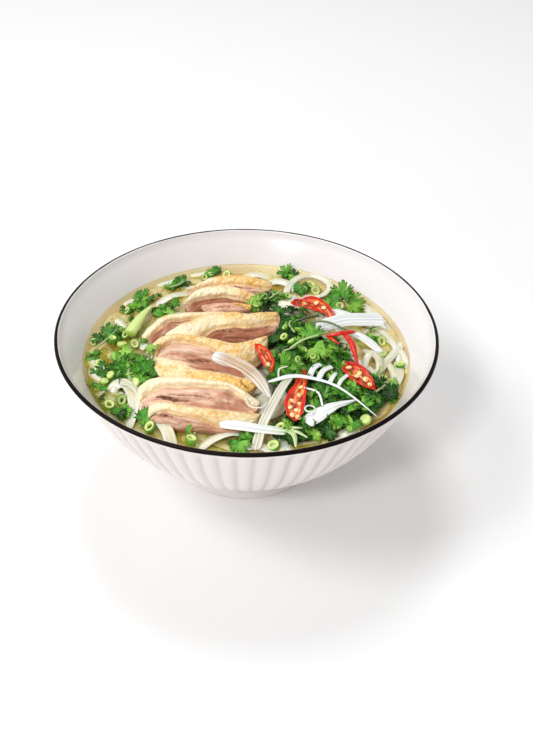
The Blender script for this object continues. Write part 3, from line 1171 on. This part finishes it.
# Sprigs that lie on their own: x, y and z in mm, size, tilt in degrees, and how light
LONE_SPRIGS = (
    (-63, 52, 73.4, 0.8, 10, 0.35), (-59, 50, 73.6, 0.6, 20, 0.3), (-72, 39, 73.6, 0.75, 15, 0.45),
    (-66, 41, 73.8, 0.75, 20, 0.4), (-61, 39, 74.0, 0.7, 20, 0.45), (-51, 28, 76.6, 0.75, 25, 0.4),
    (-46, 29, 77.4, 0.7, 25, 0.4), (-49, 34, 76.6, 0.75, 20, 0.3), (-53, 37, 76, 0.8, 20, 0.35),
    (-44, 42, 76, 0.6, 20, 0.3), (-44, 66, 74.2, 0.85, 10, 0.25), (-39, 69, 74.4, 0.8, 25, 0.15),
    (-47, 64, 74, 0.7, 20, 0.35), (-23, 80, 74.4, 0.75, 15, 0.2), (-19, 82, 74.2, 0.6, 20, 0.3),
    (25, 80, 74.4, 0.85, 10, 0.2), (29, 77, 74.6, 0.7, 20, 0.3), (33, 63, 75.4, 0.85, 15, 0.15),
    (-66, -57, 74.4, 0.8, 15, 0.3), (-62, -55, 74.6, 0.7, 20, 0.35), (-52, -61, 75, 0.9, 15, 0.35),
    (-48, -59, 75.2, 0.7, 30, 0.4), (-3, -78, 74.8, 0.95, 10, 0.3), (1, -75, 75.2, 0.7, 30, 0.4),
    (-51, -10, 81.2, 0.65, 20, 1.0), (-80, 11, 75.4, 0.95, 10, 0.05), (-84, 7, 74.8, 0.7, 15, 0.1),
    (-76, 14, 75.4, 0.7, 20, 0.15), (-69, -11, 77.4, 0.95, 15, 1.15), (-64, -10, 77.4, 0.8, 20, 0.9),
    (-73, -13, 76.6, 0.7, 20, 0.95), (-66, -21, 77.6, 0.9, 20, 0.25), (-60, -23, 78, 0.95, 20, 0.2),
    (-54, -26, 78.4, 0.95, 20, 0.25), (-48, -26, 78.6, 0.85, 25, 0.3), (-54, -32, 78, 0.75, 25, 0.3),
    (-61, -29, 77.6, 0.9, 20, 0.25), (-69, -28, 75.8, 0.9, 20, 0.2), (-86, -5, 73, 0.6, 10, 0.3),
    (-82, -21, 73, 0.6, 10, 0.35), (-78, -24, 73.4, 0.6, 15, 0.3), (-79, -33, 73, 0.65, 10, 0.35),
    (-75, -36, 73.2, 0.5, 10, 0.4), (-66, 12, 75.8, 0.65, 20, 0.4), (-74, 5, 75.2, 0.6, 20, 0.35),
    (34, -50, 81, 0.8, 20, 0.3), (40, -49, 81.6, 0.85, 20, 0.2), (46, -51, 81.4, 0.8, 20, 0.3),
    (43, -44, 81.8, 0.85, 20, 0.1), (49, -45, 81.8, 0.8, 20, 0.25), (36, -57, 80.4, 0.8, 20, 0.35),
    (31, -55, 80.8, 0.7, 20, 0.2), (53, -46, 81.2, 0.8, 20, 0.3), (37, -43, 81.6, 0.8, 20, 0.05),
    (15, -29, 82.4, 0.8, 20, 0.35), (20, -33, 82, 0.85, 20, 0.25), (26, -34, 82, 0.8, 20, 0.15),
    (31, -38, 82, 0.75, 20, 0.1), (57, -41, 81, 0.75, 20, 0.3), (34, -32, 82.4, 0.8, 20, 0.1),
    (-63, -22, 78.4, 0.95, 15, 0.3), (-67, -23, 77.6, 0.85, 15, 0.35), (-59, -19, 78.8, 0.85, 20, 0.25),
    (-57, -28, 78.6, 0.8, 20, 0.35),
    (-82, -28, 71, 0.9, 8, 0.2), (-78, -38, 71, 0.9, 8, 0.3), (-72, -44, 71, 0.8, 8, 0.25),
    (-86, -13, 71, 0.8, 8, 0.2), (-82, -3, 71, 0.8, 8, 0.3), (-77, -19, 71.2, 0.9, 8, 0.2),
    (-71, 29, 71, 0.8, 8, 0.25), (-67, -39, 71.2, 0.8, 8, 0.3), (-62, -48, 71.2, 0.8, 8, 0.2),
    (-56, 52, 71, 0.8, 8, 0.3), (52, 57, 71, 0.8, 8, 0.4), (77, 3, 71.2, 0.8, 8, 0.6),
    (72, 13, 71.8, 0.9, 8, 0.9), (79, 17, 71.6, 0.8, 8, 1.0),
    (65, 11, 72, 0.9, 8, 0.8), (80, 8, 71.4, 0.7, 8, 0.9),
    (38, -22, 81, 0.8, 20, 0.1), (44, -26, 81, 0.8, 20, 0.2), (48, -20, 81.4, 0.8, 20, 0.3),
    (51, -28, 81, 0.8, 20, 0.1), (42, -32, 81.2, 0.8, 20, 0.25), (48, -35, 81, 0.8, 20, 0.3),
    (35, -27, 81.2, 0.8, 20, 0.2), (54, -34, 80.6, 0.8, 20, 0.4),
    (20, -16, 82.4, 0.8, 25, 0.5), (25, -19, 82.8, 0.85, 25, 0.3), (23, -27, 82.4, 0.8, 25, 0.7),
    (27, -25, 82.6, 0.75, 25, 0.45), (14, -21, 82.6, 0.85, 25, 0.4), (19, -24, 82.8, 0.85, 25, 0.6),
    (13, -14, 83, 0.8, 25, 0.3),
    (16, -34, 81.6, 0.7, 20, 0.1), (54, -66, 78.4, 0.75, 20, 0.8), (60, -54, 79.6, 0.8, 20, 0.7),
    (46, -66, 79.4, 0.7, 20, 0.7),
)

# The broad leaves on the top of the heap, and the sprig at the back: x, y, z, size, facing, heading, light
BROAD_LEAVES = (
    (40, -8, 85.2, 1.75, (0.12, -0.3, 1), -0.75, 0.85), (38, -12, 84.6, 1.2, (-0.1, -0.3, 1), -1.7, 0.7),
    (45, -8, 85, 1.0, (0.3, -0.2, 1), 0.1, 0.6), (36, -4, 85.6, 1.1, (-0.1, -0.2, 1), 1.6, 0.55),
    (57, 45, 80.4, 1.15, (-0.1, -0.8, 1), 1.5, 0.5), (61, 42, 80, 1.05, (0.4, -0.6, 1), 0.1, 0.6),
    (54, 41, 80.4, 0.9, (-0.3, -0.8, 1), 2.7, 0.35), (62, 40, 78.6, 0.9, (0.3, -0.7, 1), -0.8, 0.75),
    (48, 39, 78.6, 0.8, (-0.2, -0.4, 1), 2.4, 0.6), (45, 37, 78.4, 0.75, (0, -0.4, 1), -2.4, 0.7),
    (52, 36, 79, 0.8, (0, -0.6, 1), -1.4, 0.6),
)

# Stems: points in mm, width, and how pale
STEMS = (
    (((23, -14, 85), (31, -8, 87), (41, -2, 86.5), (46, 3, 85)), 1.3, 0.9),
    (((20, -15, 84.5), (26, -12, 85), (30, -6, 84.6)), 1.0, 0.8),
    (((26, 12, 84.5), (33, 15, 85.4), (42, 20, 84)), 1.4, 0.05),
    (((34, 12, 84.6), (45, 11, 86), (56, 6, 84)), 1.2, 0.2),
    (((25, 14, 84.5), (24, 8, 85.5), (27, 2, 84.5)), 1.0, 0.7),
    (((50, 36, 79), (44, 30, 80.4), (39, 24, 82)), 1.3, 0.5),
    (((-62, -22, 77.6), (-63, -28, 78), (-61, -34, 77.4)), 2.2, 0.6),
    (((-84, -3, 75.6), (-78, 6, 76.4), (-74, 16, 76)), 1.1, 0.6),
    (((10, 40, 79), (17, 47, 80), (21, 55, 78)), 1.3, 0.6),
    (((60, -50, 80), (70, -42, 81), (78, -30, 78)), 1.2, 0.5),
    (((32, -68, 79.6), (40, -64, 80.8), (47, -66, 79.4)), 1.2, 0.5),
    (((-48, 60, 75.4), (-42, 62, 76.4), (-38, 68, 76)), 1.0, 0.6),
)


def make_coriander():
    draw = random.Random(33)
    leaves = [leaf_model(seed) for seed in range(9)]
    spots = []
    for heap, count, light in (("herb_heap_centre", 70, 0.22), ("herb_heap_top", 17, 0.7),
                               ("herb_heap_back", 5, 0.45), ("herb_heap_front", 66, 0.24),
                               ("herb_heap_left", 2, 0.35)):
        for place, up, lift in heap_spots(heap, count, draw):
            tone = light + draw.gauss(0, 0.38) + (0.14 if lift > 0 else -0.3)
            spots += sprig(place, up, draw.uniform(0, 6.3), draw.uniform(0.42, 0.78), tone, draw)
    for x, y, z, size, tilt, light in LONE_SPRIGS:
        lean = math.radians(tilt)
        up = Vector((math.sin(lean) * draw.uniform(-1, 1), -0.25, math.cos(lean))).normalized()
        spots += sprig(Vector((x, y, z)) * MM, up, draw.uniform(0, 6.3), size * LONE_SIZE, light, draw)
    for x, y, z, size, facing, heading, light in BROAD_LEAVES:
        spots.append((turned_to(Vector((x, y, z)) * MM, Vector(facing).normalized(), heading, size), light))
    nodes = tuple(HEAPS)
    dress(scatter("coriander_leaves", leaves, spots), coriander_leaf(), "herb", *nodes)
    remove(leaves)
    make_herb_beds()
    stems = []
    for points, width, pale in STEMS:
        stems.append(bent("stem", Route(mm(*points)), flat(width, width * 0.9, 0, 1, pale), 8, 24))
    dress(join("coriander_stems", stems), herb_stem(), "herb")


def make_herb_beds():
    """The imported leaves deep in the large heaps, and between the slices and the chilies."""
    beds = []
    gap = (((15, -10, 80), (21, -20, 80), (27, -33, 80), (33, -45, 80)), 24)
    for points, width in (HEAPS["herb_heap_centre"][:2], HEAPS["herb_heap_front"][:2], gap):
        route = Route([(point - Vector((0, 0, 3))) * MM for point in map(Vector, points)])

        def section(t, angle, width=width):
            ends = min(min(t, 1 - t) * 8, 1) ** 0.5
            lump = 1 + 0.25 * grain(t * 9, math.cos(angle) * 2, math.sin(angle) * 2 + width)
            side = -math.cos(angle) * width * 0.34 * ends * lump
            return side * MM, math.sin(angle) * 3.4 * ends * lump * MM, (0, 0, 0)

        beds.append(bent("bed", route, section, 40, 60))
    dress(join("coriander_bed", beds), packed_leaf(), "herb")


# ---------------------------------------------------------------- chili

# How much of a split pod's half width its red skin takes
SKIN_EDGE = 0.26


def boat(points, widths, depth, lean):
    """A piece of split pod: a shallow trough with a rounded skin edge and the flesh inside it."""
    route = Route(mm(*points), lean)

    def section(t, angle):
        ends = min(min(t, 1 - t) * 14, 1) ** 0.6
        half = even(widths, t) / 2 * (0.25 + 0.75 * ends)
        across = -squared(math.cos(angle), 0.8)
        sag = depth * (1 - across * across) * ends
        thick = 0.75 * squared(math.sin(angle), 0.6)
        inside = math.sin(angle) > 0
        rib = 0.35 * math.cos(across * 7) * (1 - across * across) if inside else 0
        lump = 0.3 * grain(t * 9, across * 2, points[0][0])
        flesh = clamp((1 - abs(across) - SKIN_EDGE) * 6) * clamp((min(t, 1 - t) - 0.1) * 12)
        hollow = flesh * clamp(grain(t * 6, abs(across) * 3, points[0][1]) * 2 + 0.5)
        masks = (flesh, hollow, 0) if inside else (0, 0, 0)
        return across * half * MM, (thick - sag + rib + lump) * ends * MM, masks

    return bent("pod", route, section, 36, 60)


def solid_pod(points, widths, thick):
    """A strip of red pod."""
    route = Route(mm(*points))

    def section(t, angle):
        ends = min(min(t, 1 - t) * 16, 1) ** 0.5
        half = even(widths, t) / 2 * ends
        return -math.cos(angle) * half * MM, math.sin(angle) * thick / 2 * ends * MM, (0, 0, 0)

    return bent("pod", route, section, 16, 40)


# Each chili: its troughs of split pod, its plain strips, and its seeds as x, y, z and turn
Chili = namedtuple("Chili", "node boats strips seeds")

CHILIES = (
    Chili("chili_1",
          ((((32.5, 40, 81.8), (37.5, 36, 83.4), (43, 29, 84.4), (47, 23.5, 84), (50.5, 18.5, 82.2)),
            (1.2, 6.4, 7.4, 6.6, 4.6, 0.8), 1.2, 24),
           (((25.5, 35.5, 81.6), (30, 34.6, 82.8), (36, 32, 83), (42, 26, 82.6)),
            (0.8, 4.8, 5.4, 4.4, 1), 0.9, 30)),
          (),
          ((40.5, 32, 84.6, 1.0), (44.5, 27, 84.6, 0.2))),
    Chili("chili_2", (),
          ((((43.5, -4, 86.8), (50, -3, 87.8), (56, -0.5, 87.2), (61, 2, 85.6)), (0.8, 3, 3.4, 3, 1), 1.6),
           (((54, -1, 86.8), (57.5, -10, 86.8), (58.5, -17, 85.8), (60, -25, 83.6)),
            (3, 3.6, 3.6, 2.6, 0.8), 1.6),
           (((45.5, -4, 86.6), (47.5, -7.5, 87), (51, -10.5, 86.4)), (2.4, 2, 1.0), 1.0)),
          ()),
    Chili("chili_3",
          ((((51.5, -22, 82.8), (59, -32.5, 83.8), (68, -43, 81)), (1.5, 8.5, 10.5, 7.5, 1), 1.9, 18),), (),
          ((55, -27, 83.4, 0.4), (60, -32, 83.2, 1.2), (58.5, -34.5, 83.4, 0.3), (63, -36, 82.6, 2.2),
           (65, -39.5, 82, 1.0))),
    Chili("chili_4",
          ((((31, -28, 84.4), (28.5, -43, 84.8), (25, -57, 84), (25, -69, 81.6)),
            (1, 3.6, 6, 9.5, 11, 8.5, 3), 2.2, 6),),
          (),
          ((28.6, -45, 84, 0.2), (27.5, -51, 83.6, 1.3), (24, -55, 83, 0.4), (27.6, -57, 82.8, 2.0),
           (22.6, -59.5, 82.6, 0.9), (25.8, -61.5, 82.4, 0.1), (28.2, -62, 82.2, 1.6),
           (23.4, -64.5, 81.8, 2.4), (26.6, -66, 81.6, 0.6))),
    Chili("chili_5",
          ((((4.5, -9, 85), (8, -16, 86), (11.5, -24, 85.4), (13.5, -32, 82.6)),
            (0.6, 4.4, 6.6, 6.6, 2), 1.0, 28),),
          (),
          ((11.8, -27.5, 85, 1.2),)),
)


def seed_model():
    """A flat chili seed, 3 mm across, with a notch at its hilum."""
    seed = ball("seed", 12, 8)
    for vertex in seed.data.vertices:
        angle = math.atan2(vertex.co.y, vertex.co.x)
        notch = 1 - 0.22 * math.exp(-(angle / 0.4) ** 2)
        vertex.co = Vector((vertex.co.x * 1.7 * notch, vertex.co.y * 1.4 * notch, vertex.co.z * 0.55)) * MM
    paint_plain(seed)
    return seed


def make_chilies():
    finish = red_chili()
    draw = random.Random(12)
    spots = []
    for chili in CHILIES:
        pods = [boat(*details) for details in chili.boats]
        pods += [solid_pod(*details) for details in chili.strips]
        dress(join(chili.node + "_cut", pods), finish, "chili", chili.node)
        for x, y, z, turn in chili.seeds:
            up = Vector((draw.gauss(0, 0.25), draw.gauss(0, 0.25) - 0.3, 1)).normalized()
            spots.append((turned_to(Vector((x, y, z)) * MM, up, turn, draw.uniform(0.85, 1.15)), 0))
    seed = seed_model()
    dress(scatter("chili_seeds", [seed], spots), chili_seed(), "chili")
    remove([seed])


# ---------------------------------------------------------------- fat on the broth

def make_oil_drops():
    """Flat drops of fat that float on the open broth, closest together by the wall."""
    draw = random.Random(8)
    drop = ball("drop", 12, 6)
    paint_plain(drop)
    spots = []
    for _ in range(420):
        angle = draw.uniform(0, math.tau)
        reach = BROTH_RADIUS * draw.uniform(0.5, 0.975) ** 0.6
        size = draw.uniform(0.25, 0.8) ** 1.6 * 1.4 * MM
        place = Vector((reach * math.cos(angle), reach * math.sin(angle), BROTH_LEVEL))
        spots.append((Matrix.Translation(place) @ Matrix.Diagonal((size, size, size * 0.35, 1)), 0))
    dress(scatter("oil_drops", [drop], spots), oil_drop(), "broth")
    remove([drop])


# ---------------------------------------------------------------- studio

def make_floor():
    deselect()
    bpy.ops.mesh.primitive_plane_add(size=6, location=(0, 0, 0))
    floor = bpy.context.active_object
    floor.name = "floor"
    floor.data.materials.append(pale_floor())


LIGHT_TARGET = Vector((0, 0, 50 * MM))


def soft_light(name, place, size, watts):
    """A square soft box that faces the bowl."""
    light = bpy.data.lights.new(name, "AREA")
    light.shape = "SQUARE"
    light.size = size
    light.energy = watts
    lamp = bpy.data.objects.new(name, light)
    lamp.location = place
    lamp.rotation_euler = (Vector(place) - LIGHT_TARGET).to_track_quat("Z", "Y").to_euler()
    bpy.context.scene.collection.objects.link(lamp)


def make_lights():
    world = bpy.data.worlds.new("studio")
    world.use_nodes = True
    world.node_tree.nodes["Background"].inputs["Color"].default_value = (1, 1, 1, 1)
    world.node_tree.nodes["Background"].inputs["Strength"].default_value = 0.44
    bpy.context.scene.world = world
    soft_light("key", (-0.79, -1.37, 1.53), 0.35, 13)
    soft_light("side", (-1.19, -0.32, 1.58), 0.6, 12)
    soft_light("top", (-0.15, 0.83, 1.81), 0.6, 11)
    bpy.context.scene.view_settings.view_transform = "Standard"


def make_camera():
    """A long lens that looks down at 35 degrees from the front."""
    camera = bpy.data.cameras.new("camera")
    camera.lens = 45.31
    camera.sensor_width = 36
    camera.sensor_fit = "AUTO"
    camera.shift_x = 0.0261
    camera.shift_y = -0.0725
    camera.clip_start = 0.01
    view = bpy.data.objects.new("camera", camera)
    view.location = (0, -0.4274, 0.3969)
    tip = Matrix.Rotation(math.radians(90 - 35.5), 4, "X")
    roll = Matrix.Rotation(math.radians(0.83), 4, "Z")
    view.rotation_euler = (tip @ roll).to_euler()
    bpy.context.scene.collection.objects.link(view)
    bpy.context.scene.camera = view


make_camera()
make_floor()
make_lights()
make_bowl()
make_broth()
make_noodles()
make_duck()
make_scallion_strips()
make_scallion_rings()
make_coriander()
make_chilies()
make_oil_drops()
